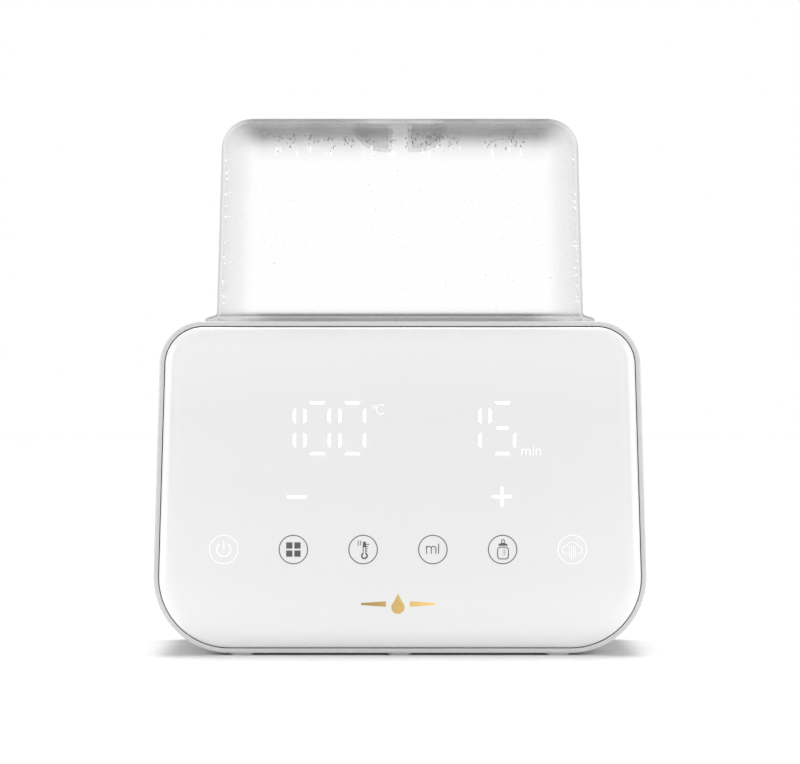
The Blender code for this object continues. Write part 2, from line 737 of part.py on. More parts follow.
def make_plate_sensors():
    """The cut-out, the fuse and the temperature sensor that touch the heating plate."""
    top = PLATE_LOW - GAP
    cut_out = rod("thermal_cut_out", 8 * MM, (0, 0, top - 8 * MM), (0, 0, top), PART_BLACK, 20)
    flange_low, flange_high = (-13 * MM, -4 * MM, top - 2 * MM), (13 * MM, 4 * MM, top - 1 * MM)
    join(cut_out, block("cut_out_flange", flange_low, flange_high, None))
    for x in (-4 * MM, 4 * MM):
        low, high = (x - 0.4 * MM, -3 * MM, top - 15 * MM), (x + 0.4 * MM, 3 * MM, top - 7 * MM)
        join(cut_out, block("cut_out_blade", low, high, None))
    fuse_z = top - 2.4 * MM
    fuse = rod("thermal_fuse", 2.3 * MM, (24 * MM, -7 * MM, fuse_z), (24 * MM, 7 * MM, fuse_z), STEEL, 14)
    for y in (-1, 1):
        ends = (24 * MM, y * 6 * MM, fuse_z), (24 * MM, y * 13 * MM, fuse_z)
        join(fuse, rod("fuse_pin", 0.7 * MM, *ends, None, 8))
    profile = [(0, 0), (2.6, 0), (3.0, -1), (3.0, -8), (2.0, -9), (2.0, -14), (0, -14)]
    points = [(radius * MM, height * MM) for radius, height in profile]
    turned("temperature_sensor", points, (-24 * MM, 0, top), STEEL, 16)


# ---------------------------------------------------------------- boards


def on_power_board(name, low, high, height, finish, edge=0.6 * MM):
    """A boxed component standing on the power board, between two plan corners in millimetres."""
    base = POWER_BOARD_LOW + BOARD_THICKNESS + GAP
    corners = (low[0] * MM, low[1] * MM, base), (high[0] * MM, high[1] * MM, base + height * MM)
    return block(name, *corners, finish, edge)


def make_power_board():
    """The mains board on its four posts, with its large components."""
    low = (-66 * MM, -26 * MM, POWER_BOARD_LOW)
    high = (12 * MM, 34 * MM, POWER_BOARD_LOW + BOARD_THICKNESS)
    board = block("power_board", low, high, BOARD_GREEN)
    for number, (x, y) in enumerate(BOARD_POSTS, 1):
        cut(board, rod("board_hole", 1.6 * MM, (x, y, 0), (x, y, 40 * MM), None, 10))
        head = POWER_BOARD_LOW + BOARD_THICKNESS + GAP + 1.5 * MM
        make_screw(f"board_screw_{number}", x, y, head, POWER_BOARD_LOW - 4 * MM, 2.6 * MM)
    transformer = on_power_board("transformer", (-52, -10), (-33, 10), 12, PART_BLACK)
    coil_base = POWER_BOARD_LOW + BOARD_THICKNESS + 10 * MM
    coil_low, coil_high = (-49 * MM, -7 * MM, coil_base), (-36 * MM, 7 * MM, coil_base + 8 * MM)
    join(transformer, block("transformer_core", coil_low, coil_high, None))
    on_power_board("relay", (-26, -18), (-7, -3), 15.5, LEAD_BLUE)
    on_power_board("mains_capacitor", (-26, 6), (-8, 14), 14, LEAD_RED)
    terminal = on_power_board("mains_terminal", (-4, -2), (7, 16), 10, BOARD_GREEN)
    for y in (2, 7, 12):
        top = POWER_BOARD_LOW + BOARD_THICKNESS + 20 * MM
        seat = (1.5 * MM, y * MM, top - 12 * MM), (1.5 * MM, y * MM, top)
        cut(terminal, rod("terminal_seat", 1.9 * MM, *seat, None, 10))
    on_power_board("ribbon_header", (-47, -25), (-35, -19), 6, COVER_WHITE)


def make_control_board():
    """The upright board behind the panel, held on the panel's posts, with the sounder behind it."""
    back = CONTROL_BOARD_FRONT + BOARD_THICKNESS
    low, high = (-100 * MM, CONTROL_BOARD_FRONT, 38 * MM), (100 * MM, back, 132 * MM)
    block("control_board", low, high, BOARD_GREEN)
    ends = (78 * MM, back + GAP, 110 * MM), (78 * MM, back + 8 * MM, 110 * MM)
    sounder = rod("sounder", 6 * MM, *ends, PART_BLACK, 20)
    hole = (78 * MM, back + 5 * MM, 110 * MM), (78 * MM, back + 20 * MM, 110 * MM)
    cut(sounder, rod("sounder_hole", 1.2 * MM, *hole, None, 10))


def segment_tool(name, x, z):
    """Seven bars in the pattern of a numeral, to recess one digit into a display's face."""
    width, height, bar = 12 * MM, 25.5 * MM, 1.0 * MM
    half_x, half_z = width / 2, height / 2
    spans = [(-half_x + 2 * bar, half_x - 2 * bar, k * half_z - bar, k * half_z + bar) for k in (-1, 0, 1)]
    for side in (-1, 1):
        near, far = side * half_x - bar, side * half_x + bar
        spans.append((near, far, 1.6 * bar, half_z - 1.6 * bar))
        spans.append((near, far, -half_z + 1.6 * bar, -1.6 * bar))
    front = DISPLAY_FRONT
    bm = bmesh.new()
    for left, right, low, high in spans:
        corners = bmesh.ops.create_cube(bm, size=1)["verts"]
        centre = Vector((x + (left + right) / 2, front, z + (low + high) / 2))
        size = Vector((right - left, 2 * MM, high - low))
        bmesh.ops.transform(bm, matrix=Matrix.Translation(centre) @ scaling(size), verts=corners)
    return add_object(name, mesh_of(name, bm), None)


def make_displays():
    """Two numeral displays: three digits for the temperature and two for the minutes."""
    back = CONTROL_BOARD_FRONT - GAP
    for name, left, right, digits in (
        ("temperature_display", -57, -4, (-58.6, -41.1, -23.6)),
        ("timer_display", 35, 73, (34.1, 51.6)),
    ):
        low, high = (left * MM, DISPLAY_FRONT, 95 * MM), (right * MM, back, 131 * MM)
        display = block(name, low, high, PART_BLACK)
        for x in digits[1:]:
            cut(display, segment_tool(name + "_digit", x * MM, DIGIT_Z))


def make_touch_contacts():
    """One conductive foam ring behind each key."""
    back, front = CONTROL_BOARD_FRONT - GAP, DISPLAY_FRONT
    first = -2.5 * KEY_PITCH - 1 * MM
    keys = [(key, first + i * KEY_PITCH, KEY_ROW_Z) for i, key in enumerate(KEY_NAMES)]
    keys += [("minus", -STEP_KEY_X, STEP_KEY_Z), ("plus", STEP_KEY_X, STEP_KEY_Z)]
    for key, x, z in keys:
        profile = [(3.2 * MM, back), (5.5 * MM, back), (5.5 * MM, front), (3.2 * MM, front)]
        turned(f"touch_contact_{key}", profile, (x, 0, z), PART_BLACK, 12, along="Y")


def strip(name, path, x, half_width, half_thickness, finish):
    """A flat flexible strip that follows a path of (y, z) points."""
    points = smooth_route([Vector((x, y * MM, z * MM)) for y, z in path], 3)
    rings = []
    for before, here, after in zip([points[0], *points], points, [*points[1:], points[-1]]):
        along = (after - before).normalized()
        side = Vector((half_width, 0, 0))
        up = Vector((0, -along.z, along.y)) * half_thickness
        rings.append([here - side - up, here + side - up, here + side + up, here - side + up])
    return solid(name, rings, finish)


def make_leads():
    """The leads inside the body: mains in, heater out, earth to the plate, ribbon to the panel."""
    starts = ((-1.2, 1.0), (1.2, 1.0), (0.0, -1.3))
    (live_x, live_z), (neutral_x, neutral_z), (earth_x, earth_z) = starts
    live = [(62 + live_x, 69, 22 + live_z), (60, 60, 23), (44, 50, 24), (20, 34, 25), (9.5, 12, 22)]
    neutral = [(62 + neutral_x, 69, 22 + neutral_z), (63, 58, 24), (50, 42, 27), (26, 22, 26), (9.5, 7, 22)]
    earth = [(62 + earth_x, 69, 22 + earth_z), (62, 60, 19), (60, 46, 26), (57, 33, 44), (54, 29, 59.4)]
    heater_left = [(-9, 24, 42.6), (-9, 24, 38), (-12, 12, 34), (-15, -4, 33), (-16, -10, 30.8)]
    heater_right = [(9, 24, 42.6), (9, 24, 38), (6, 16, 33), (3, 9, 28), (1.5, 7, 25)]
    leads = (
        ("live_lead", live, LEAD_RED),
        ("neutral_lead", neutral, LEAD_BLUE),
        ("earth_lead", earth, LEAD_GREEN),
        ("heater_lead_left", heater_left, LEAD_RED),
        ("heater_lead_right", heater_right, LEAD_BLUE),
    )
    for name, route, finish in leads:
        wire(name, [Vector(point) * MM for point in route], 0.9 * MM, finish)
    path = [(-22, 20.4), (-22, 26), (-30, 33), (-48, 38), (-60, 43), (-64.0, 50)]
    strip("ribbon_cable", path, -41 * MM, 4.5 * MM, 0.35 * MM, COVER_WHITE)


def main():
    make_housing()
    make_front_panel()
    make_rear_cover()
    make_gland()
    make_base_plate()
    make_base_screws()
    make_feet()
    make_lid()
    make_chamber()
    make_basket("bottle_basket_left", -BASKET_CENTRE_X)
    make_basket("bottle_basket_right", BASKET_CENTRE_X)
    make_heating_plate()
    make_chamber_seal()
    make_heating_element()
    make_plate_sensors()
    make_power_board()
    make_control_board()
    make_displays()
    make_touch_contacts()
    make_leads()


main()
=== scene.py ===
"""Looks for the bottle sterilizer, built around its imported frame.

Shapes are in millimetres and finished() makes them metres. Materials, lights and the camera are
in metres. The panel's graphics are given as (x, z) on the panel, and the stops of a colour ramp
as (place, value)."""

import json
import math
import random

import bmesh
import bpy
from mathutils import Matrix, Vector


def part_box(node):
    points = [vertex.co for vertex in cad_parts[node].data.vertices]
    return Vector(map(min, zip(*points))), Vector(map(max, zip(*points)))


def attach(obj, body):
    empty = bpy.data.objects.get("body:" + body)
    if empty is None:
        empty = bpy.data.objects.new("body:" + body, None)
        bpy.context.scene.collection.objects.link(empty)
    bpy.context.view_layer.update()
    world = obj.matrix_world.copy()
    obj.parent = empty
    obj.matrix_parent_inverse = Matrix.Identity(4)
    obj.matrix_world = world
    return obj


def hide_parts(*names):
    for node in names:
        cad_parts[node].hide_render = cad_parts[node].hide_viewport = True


MM = 0.001
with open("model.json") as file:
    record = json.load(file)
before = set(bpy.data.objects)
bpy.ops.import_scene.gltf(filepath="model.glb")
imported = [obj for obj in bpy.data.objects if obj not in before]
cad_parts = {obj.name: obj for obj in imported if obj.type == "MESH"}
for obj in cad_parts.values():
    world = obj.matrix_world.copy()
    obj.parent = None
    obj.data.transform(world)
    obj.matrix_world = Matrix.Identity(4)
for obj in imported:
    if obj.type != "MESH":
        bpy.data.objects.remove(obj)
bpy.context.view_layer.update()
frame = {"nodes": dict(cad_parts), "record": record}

BODY_LOW, BODY_HIGH = (v.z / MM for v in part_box("main_housing"))
HOUSING_HALF_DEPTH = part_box("main_housing")[1].y / MM
HOUSING_WALL = 2.4
BODY_HALF_LOW, BODY_HALF_HIGH = 124.5, 119.6
BODY_RADIUS_LOW, BODY_RADIUS_HIGH = 38.0, 22.0
MOUTH_HALF_X, MOUTH_HALF_Y = 90.2, 48.2
MOUTH_LOW, MOUTH_HIGH = 157, 177
BASE_OPENING_HALF_X, BASE_OPENING_HALF_Y, BASE_OPENING_TOP = 86.3, 54.3, 5.3
FOOT_X, FOOT_Y = 79.0, 63.5
POCKET_HALF_SIDE, POCKET_TOP = 6.4, 2.3
TAB_X, TAB_HALF_WIDTH = 64, 8
TAB_NEAR_Y, TAB_FAR_Y = 41, 60.8
TAB_LOW, TAB_HIGH = 5.4, 11
BELOW_FLOOR = -5  # a height that every cut from below starts at

PRINT_ROOM = 0.1
PANEL_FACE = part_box("front_panel")[0].y / MM + PRINT_ROOM
PANEL_BACK = -62.0
PANEL_WALL = 2.0
PANEL_INSET = 2.85
PANEL_CROWN_WIDTH, PANEL_CROWN_POWER = 9.0, 0.92
PANEL_HIGH = 0.163  # in metres, as the materials measure it
PRINT_FRONT, PRINT_BACK = 0.03, -0.015  # how far a print stands in front of the panel's face
PRINT_STEP = 0.0005

LID_LOW, LID_HIGH = (v.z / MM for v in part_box("lid"))
LID_WALL = 2.0
LID_WALL_LOW = 176.0
LID_HALF_X, LID_HALF_Y, LID_RADIUS = 92.8, 58.0, 22.0
LID_DRAFT = 0.029
LID_ROUNDING = 15.0
LID_CROWN = 0.8
LID_SHOULDER = LID_HIGH + 0.1 - LID_CROWN - LID_ROUNDING
DIP_CENTRE, GRIP_HALF_WIDTH = 8, 6
DIP_RADII = (15, 18, 13.5)
DIP_WALL_TOP = 1.2
STEAM_HOLE_X = 12
DROP_ROOM = 0.05
CLUSTERS = (-62, -54, -45, -35, -27, -15, -5, 6, 14, 19, 28, 46, 56, 62)  # x of the drops' groups

FLOOR_HALF_SIDE = 9000
SURROUND_AS_LIGHT, SURROUND_AS_SEEN = 0.3, 1.0
CAMERA_DISTANCE, CAMERA_HEIGHT = 2.2, 0.1366


# ---------------------------------------------------------------- outlines


def filleted(corners, radii, steps):
    """An outline with each corner turned into an arc of its own radius."""
    points = []
    for i, corner in enumerate(corners):
        back = (corners[i - 1] - corner).normalized()
        ahead = (corners[(i + 1) % len(corners)] - corner).normalized()
        half_angle = back.angle(ahead) / 2
        centre = corner + (back + ahead).normalized() * radii[i] / math.sin(half_angle)
        start = (corner + back * radii[i] / math.tan(half_angle) - centre).normalized()
        end = (corner + ahead * radii[i] / math.tan(half_angle) - centre).normalized()
        points += [centre + start.slerp(end, k / steps) * radii[i] for k in range(steps + 1)]
    return points


def drawn_in(corners, distance):
    """An outline with each side moved inward by the same distance."""
    moved = []
    for i, corner in enumerate(corners):
        along = (corner - corners[i - 1]).normalized()
        onward = (corners[(i + 1) % len(corners)] - corner).normalized()
        normal = Vector((-along.y, along.x))
        bisector = (normal + Vector((-onward.y, onward.x))).normalized()
        moved.append(corner + bisector * distance / bisector.dot(normal))
    return moved


def body_outline(inset):
    """The front outline of the body, wider below, drawn in by an inset."""
    corners = [
        Vector((-BODY_HALF_LOW, BODY_LOW)),
        Vector((BODY_HALF_LOW, BODY_LOW)),
        Vector((BODY_HALF_HIGH, BODY_HIGH)),
        Vector((-BODY_HALF_HIGH, BODY_HIGH)),
    ]
    low, high = BODY_RADIUS_LOW - inset, BODY_RADIUS_HIGH - inset
    return filleted(drawn_in(corners, inset), (low, low, high, high), steps=24)


def rounded_rectangle(half_x, half_y, radius, steps=14):
    signs = ((-1, -1), (1, -1), (1, 1), (-1, 1))
    return filleted([Vector((x * half_x, y * half_y)) for x, y in signs], [radius] * 4, steps)


def upright(outline, y):
    """An outline drawn in x and z, at a depth."""
    return [Vector((p.x, y, p.y)) for p in outline]


def level(outline, z):
    """An outline drawn in x and y, at a height."""
    return [Vector((p.x, p.y, z)) for p in outline]


# ---------------------------------------------------------------- meshes


def finished(name, bm, material, body, smooth=35):
    """Makes a bmesh in millimetres into a piece that rides on a body."""
    bmesh.ops.transform(bm, matrix=Matrix.Scale(MM, 4), verts=bm.verts)
    mesh = bpy.data.meshes.new(name)
    bm.to_mesh(mesh)
    bm.free()
    obj = bpy.data.objects.new(name, mesh)
    bpy.context.scene.collection.objects.link(obj)
    if smooth:
        mesh.shade_smooth()
        mesh.set_sharp_from_angle(angle=math.radians(smooth))
    if material:
        mesh.materials.append(material)
    if body:
        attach(obj, body)
    return obj


def skin(rings, cap_first=False, cap_last=False):
    """A surface drawn over rings of equal numbers of points, closed at the ends asked for."""
    bm = bmesh.new()
    loops = []
    for ring in rings:
        corners = [bm.verts.new(point) for point in ring]
        loops.append([bm.edges.new(pair) for pair in zip(corners, corners[1:] + corners[:1])])
    for near, far in zip(loops, loops[1:]):
        bmesh.ops.bridge_loops(bm, edges=near + far)
    for wanted, loop in ((cap_first, loops[0]), (cap_last, loops[-1])):
        if wanted:
            bmesh.ops.contextual_create(bm, geom=loop)
    bmesh.ops.recalc_face_normals(bm, faces=bm.faces)
    return bm


def walled(obj, thickness):
    """Gives a surface a wall that grows inward."""
    modifier = obj.modifiers.new("wall", "SOLIDIFY")
    modifier.thickness = thickness * MM
    modifier.offset = -1.0
    modifier.use_even_offset = True
    modifier.use_quality_normals = True


def applied(obj, smooth):
    """Bakes the modifiers into the mesh, and drops the tools they used."""
    graph = bpy.context.evaluated_depsgraph_get()
    mesh = bpy.data.meshes.new_from_object(obj.evaluated_get(graph))
    tools = [m.object for m in obj.modifiers if m.type == "BOOLEAN"]
    obj.modifiers.clear()
    obj.data = mesh
    for tool in tools:
        bpy.data.objects.remove(tool)
    mesh.shade_smooth()
    mesh.set_sharp_from_angle(angle=math.radians(smooth))


def boolean(obj, tool_bm, operation="DIFFERENCE"):
    """Adds a Boolean step. Its tool stays until applied() drops it."""
    tool = finished("tool", tool_bm, None, None, smooth=0)
    modifier = obj.modifiers.new("tool", "BOOLEAN")
    modifier.operation = operation
    modifier.object = tool


def box_bm(low, high):
    bm = bmesh.new()
    bmesh.ops.create_cube(bm, size=1)
    low, high = Vector(low), Vector(high)
    matrix = Matrix.Translation((low + high) / 2) @ Matrix.Diagonal((*(high - low), 1))
    bmesh.ops.transform(bm, matrix=matrix, verts=bm.verts)
    return bm


def ball_bm(centre, radii):
    bm = bmesh.new()
    bmesh.ops.create_uvsphere(bm, u_segments=40, v_segments=24, radius=1)
    matrix = Matrix.Translation(centre) @ Matrix.Diagonal((*radii, 1))
    bmesh.ops.transform(bm, matrix=matrix, verts=bm.verts)
    return bm


def trim(bm, place, normal):
    """Cuts away what lies beyond a plane, and closes the cut."""
    geometry = [*bm.verts, *bm.edges, *bm.faces]
    bmesh.ops.bisect_plane(bm, geom=geometry, plane_co=place, plane_no=normal, clear_outer=True)
    bmesh.ops.holes_fill(bm, edges=bm.edges)
    bmesh.ops.recalc_face_normals(bm, faces=bm.faces)


# ---------------------------------------------------------------- materials


class Finish:
    """A Principled material, with helpers that wire noise, places and ramps into it."""

    def __init__(self, name, roughness, metallic=0.0, ior=1.5):
        self.material = bpy.data.materials.new(name)
        self.material.use_nodes = True
        self.tree = self.material.node_tree
        self.shader = self.tree.nodes["Principled BSDF"]
        self.shader.inputs["Roughness"].default_value = roughness
        self.shader.inputs["Metallic"].default_value = metallic
        self.shader.inputs["IOR"].default_value = ior
        self.place = self.tree.nodes.new("ShaderNodeTexCoord").outputs["Object"]

    def wire(self, source, target):
        self.tree.links.new(source, target)

    def glow(self, strength):
        self.shader.inputs["Emission Color"].default_value = (1, 1, 1, 1)
        self.shader.inputs["Emission Strength"].default_value = strength

    def axes(self):
        """The place on the object, in metres, as three values."""
        apart = self.tree.nodes.new("ShaderNodeSeparateXYZ")
        self.wire(self.place, apart.inputs[0])
        return [apart.outputs[axis] for axis in "XYZ"]

    def noise(self, scale, detail=4.0, stretch=(1, 1, 1)):
        mapping = self.tree.nodes.new("ShaderNodeMapping")
        mapping.inputs["Scale"].default_value = stretch
        self.wire(self.place, mapping.inputs["Vector"])
        noise = self.tree.nodes.new("ShaderNodeTexNoise")
        noise.inputs["Scale"].default_value = scale
        noise.inputs["Detail"].default_value = detail
        self.wire(mapping.outputs["Vector"], noise.inputs["Vector"])
        return noise.outputs["Fac"]

    def ramp(self, source, stops):
        ramp = self.tree.nodes.new("ShaderNodeValToRGB")
        elements = ramp.color_ramp.elements
        while len(elements) < len(stops):
            elements.new(0.5)
        for element, (place, colour) in zip(elements, stops):
            element.position = place
            shade = colour if isinstance(colour, tuple) else (colour, colour, colour)
            element.color = (*shade, 1.0)
        self.wire(source, ramp.inputs["Fac"])
        return ramp.outputs["Color"]

    def maths(self, operation, *values):
        """A sum on one or two values. Additions are held between 0 and 1."""
        node = self.tree.nodes.new("ShaderNodeMath")
        node.operation = operation
        node.use_clamp = operation == "ADD"
        for value, target in zip(values, node.inputs):
            self.wire(value, target)
        return node.outputs[0]

    def added(self, first, *others):
        for other in others:
            first = self.maths("ADD", first, other)
        return first

    def multiplied(self, first, *others):
        for other in others:
            first = self.maths("MULTIPLY", first, other)
        return first

    def ranged(self, source, low, high):
        """A value's place between two limits, from 0 to 1."""
        node = self.tree.nodes.new("ShaderNodeMapRange")
        node.inputs["From Min"].default_value = low
        node.inputs["From Max"].default_value = high
        self.wire(source, node.inputs["Value"])
        return node.outputs["Result"]

    def bump(self, source, distance, strength=1.0):
        bump = self.tree.nodes.new("ShaderNodeBump")
        bump.inputs["Distance"].default_value = distance
        bump.inputs["Strength"].default_value = strength
        self.wire(source, bump.inputs["Height"])
        self.wire(bump.outputs["Normal"], self.shader.inputs["Normal"])

    def colours(self, source, low, high):
        self.wire(self.ramp(source, ((0.35, low), (0.65, high))), self.shader.inputs["Base Color"])

    def roughness(self, source, low, high):
        self.wire(self.ramp(source, ((0.3, low), (0.7, high))), self.shader.inputs["Roughness"])


def tinted(colour, factor):
    return tuple(min(1.0, channel * factor) for channel in colour)


def moulded(name, colour, roughness, grain=900, depth=0.00002, spread=0.02):
    """Moulded plastic: a faint cloudiness in its colour, and a fine grain in its surface. A colour
    may also be a row of greys by height, each with its share of the front panel's height. Such a
    row is painted light: lighter low down, where the floor's shade falls."""
    finish = Finish(name, roughness)
    cloud = finish.noise(18)
    if isinstance(colour[0], tuple):
        # painted light: the greys by height lift the lower part, where the floor's shade falls
        height = finish.axes()[2]
        grey = finish.ramp(finish.ranged(height, 0.0, PANEL_HIGH), colour)
        clouded = finish.ramp(cloud, ((0.35, 1 - spread), (0.65, 1.0)))
        finish.wire(finish.multiplied(grey, clouded), finish.shader.inputs["Base Color"])
    else:
        finish.colours(cloud, tinted(colour, 1 - spread), tinted(colour, 1 + spread))
    grain_noise = finish.noise(grain, 2)
    finish.roughness(grain_noise, roughness * 0.85, min(1.0, roughness * 1.15))
    finish.bump(grain_noise, depth)
    return finish.material


def brushed(name, colour, roughness, stretch):
    finish = Finish(name, roughness, 1.0)
    lines = finish.noise(300, 3, stretch)
    finish.colours(lines, tinted(colour, 0.85), tinted(colour, 1.1))
    finish.roughness(lines, roughness * 0.8, roughness * 1.3)
    finish.bump(lines, 0.00002)
    return finish.material


def printed(name, colour, glow=0.0):
    """Ink or a lit mark, a little uneven in its density."""
    finish = Finish(name, 0.4)
    finish.colours(finish.noise(700, 2), tinted(colour, 0.96), tinted(colour, 1.04))
    finish.glow(glow)
    return finish.material


def gold_foil_with_painted_sheen():
    """Gold foil with a painted sheen that runs from a dark gold at the left to a bright one at the
    right.
    """
    finish = Finish("gold_foil_with_painted_sheen", 0.3, metallic=0.6)
    # painted sheen: the gold brightens from left to right as a reflection would
    along = finish.ranged(finish.axes()[0], -0.019, 0.018)
    wavering = finish.added(along, finish.ramp(finish.noise(300, 2), ((0.3, 0.0), (0.7, 0.06))))
    stops = ((0.0, (0.34, 0.22, 0.07)), (0.5, (0.60, 0.41, 0.14)), (1.0, (0.88, 0.60, 0.20)))
    finish.wire(finish.ramp(wavering, stops), finish.shader.inputs["Base Color"])
    return finish.material


def slanting_walls(finish, facing, from_middle, y, height):
    """A faint grey on the lid's flat walls where they are seen at a slant, not on its corners or
    its top, so that they show from the sides and from behind."""
    slant = finish.ramp(facing, ((0.08, 0.0), (0.2, 0.11), (0.55, 0.16), (0.75, 0.12), (0.9, 0.0)))
    past_x = finish.ranged(from_middle, 0.064, 0.074)
    past_y = finish.ranged(finish.maths("ABSOLUTE", y), 0.030, 0.040)
    off_corners = finish.ramp(finish.multiplied(past_x, past_y), ((0.0, 1.0), (1.0, 0.0)))
    below_top = finish.ramp(height, ((0.0, 1.0), (0.2, 0.0)))
    return finish.multiplied(slant, off_corners, below_top)


def settled_mist(finish, across, height):
    """The mist under the lid's top, thinner over the grip and toward the ends."""
    rising = ((0.2, 0.0), (0.4, 0.05), (0.55, 0.11), (0.7, 0.26), (0.84, 0.54), (1.0, 0.80))
    thinning = (
        (0.17, 0.52), (0.28, 0.9), (0.76, 0.92), (0.82, 1.0), (0.9, 0.45), (0.98, 0.2)
    )
    cloud = finish.ramp(finish.noise(45, 3), ((0.3, 0.8), (0.7, 1.0)))
    return finish.multiplied(finish.ramp(height, rising), finish.ramp(across, thinning), cloud)


def painted_foot_shade(finish, from_middle, across, y, above_foot):
    """Painted shade: a dark line at the lid's foot, weaker toward the back, and on the ends of its
    flange.
    """
    line_stops = (
        (0.18, 0.0), (0.24, 0.24), (0.3, 0.46), (0.36, 0.26), (0.44, 0.08), (0.55, 0.02),
        (0.7, 0.0),
    )
    painted_crease_shade = finish.ramp(above_foot, line_stops)
    edge = finish.ramp(across, ((0.8, 1.0), (0.97, 0.5)))
    front = finish.ramp(finish.ranged(y, -0.05, 0.05), ((0.1, 1.0), (0.5, 0.4)))
    ends = finish.ramp(finish.ranged(from_middle, 0.092, 0.0988), ((0.0, 0.0), (0.5, 0.16)))
    flange = finish.ramp(above_foot, ((0.2, 1.0), (0.32, 0.0)))
    return finish.added(finish.multiplied(painted_crease_shade, edge, front), finish.multiplied(ends, flange))


def clear_lid(name, stops):
    """Clear moulded plastic with steam on it: thin where it is seen square on, grey at its edges
    and under its top. The stops give its density by the angle of view."""
    finish = Finish(name, 0.2, ior=1.3)
    finish.shader.inputs["Specular IOR Level"].default_value = 0.12
    weight = finish.tree.nodes.new("ShaderNodeLayerWeight")
    weight.inputs["Blend"].default_value = 0.5
    facing = weight.outputs["Facing"]
    x, y, z = finish.axes()
    from_middle = finish.maths("ABSOLUTE", x)
    across = finish.ranged(from_middle, 0.0, 0.088)  # from the middle to the ends
    height = finish.ranged(z, 0.248, 0.270)  # the lid's top 22 mm
    above_foot = finish.ranged(z, 0.1673, 0.1773)  # its lowest 10 mm
    density = finish.added(
        finish.ramp(facing, stops),
        slanting_walls(finish, facing, from_middle, y, height),
        settled_mist(finish, across, height),
        finish.ramp(finish.noise(520, 3), ((0.66, 0.0), (0.74, 0.07))),
        # painted shade along the lid's foot and on the ends of its flange
        painted_foot_shade(finish, from_middle, across, y, above_foot),
    )
    finish.wire(density, finish.shader.inputs["Alpha"])
    grey = finish.ramp(finish.noise(60), ((0.35, 0.25), (0.65, 0.31)))
    # painted shade: the grey is darkened along the lid's foot
    shade = finish.ramp(above_foot, ((0.18, 1.0), (0.26, 0.25), (0.4, 0.3), (0.75, 1.0)))
    finish.wire(finish.multiplied(grey, shade), finish.shader.inputs["Base Color"])
    finish.bump(finish.noise(240, 3), 0.00003, 0.5)
    return finish.material


def water(name, colour, alpha, roughness=0.08, glow=0.0):
    """Drops and runs of condensed steam, as a plain see-through colour. A glow, where given, is
    painted light that makes them glint.
    """
    finish = Finish(name, roughness, ior=1.33)
    finish.glow(glow)
    finish.colours(finish.noise(800), tinted(colour, 0.9), tinted(colour, 1.08))
    finish.shader.inputs["Alpha"].default_value = alpha
    return finish.material


# painted light: the panel's greys by height are lighter toward the bottom, and a touch at the top,
# to make up for the shade near the floor
PANEL_PAINTED_LIGHT_GREYS = ((0.0, 0.88), (0.08, 0.84), (0.25, 0.75), (0.5, 0.695), (0.75, 0.68), (1.0, 0.71))
# painted light: the housing is lighter toward its bottom rim to make up for the shade near the
# floor
HOUSING_PAINTED_LIGHT_GREYS = ((0.0, 0.68), (0.12, 0.62), (0.3, 0.56), (1.0, 0.56))
LID_DENSITY = ((0.05, 0.002), (0.09, 0.015), (0.2, 0.045), (0.5, 0.065))
PANEL = moulded("panel_white", PANEL_PAINTED_LIGHT_GREYS, 0.14, grain=260, depth=0.000004, spread=0.004)
HOUSING = moulded("housing_grey", HOUSING_PAINTED_LIGHT_GREYS, 0.42)
COVER = moulded("cover_white", (0.78, 0.78, 0.785), 0.38)
CHAMBER = moulded("chamber_white", (0.80, 0.80, 0.79), 0.3, grain=500)
SAND = moulded("basket_sand", (0.70, 0.59, 0.46), 0.35, grain=600)
RUBBER = moulded("rubber_grey", (0.52, 0.52, 0.52), 0.8, grain=1400, depth=0.00005, spread=0.06)
SILICONE = moulded("silicone", (0.75, 0.75, 0.73), 0.55)
COATED = moulded("plate_coated", (0.28, 0.28, 0.29), 0.4, grain=1800, depth=0.00004, spread=0.1)
STEEL = brushed("steel", (0.62, 0.62, 0.63), 0.3, (1, 1, 12))
BOARD = moulded("board_green", (0.02, 0.16, 0.07), 0.4, grain=1100, depth=0.00004, spread=0.15)
TERMINAL = moulded("terminal_green", (0.05, 0.30, 0.14), 0.4, spread=0.05)
BLACK = moulded("part_black", (0.03, 0.03, 0.03), 0.45, spread=0.1)
RED = moulded("lead_red", (0.45, 0.04, 0.03), 0.45, spread=0.06)
BLUE = moulded("lead_blue", (0.03, 0.10, 0.42), 0.45, spread=0.06)
GREEN = moulded("lead_green", (0.20, 0.42, 0.06), 0.45, spread=0.06)
LID = clear_lid("lid_clear", (*LID_DENSITY, (0.62, 0.11), (0.96, 0.15), (1.0, 0.62)))
LID_INSIDE = clear_lid("lid_inside", (*LID_DENSITY, (0.8, 0.06), (0.95, 0.04)))
DROPS = water("water_drops", (0.30, 0.30, 0.31), 0.55)
# painted glints: the runs and specks are near white and glow, standing in for highlights on the
# water
RUNS_PAINTED_GLINTS = water("water_runs_painted_glints", (0.95, 0.95, 0.96), 0.48, 0.3, glow=0.35)
LIT = printed("lit_white", (0.92, 0.92, 0.92), glow=0.12)
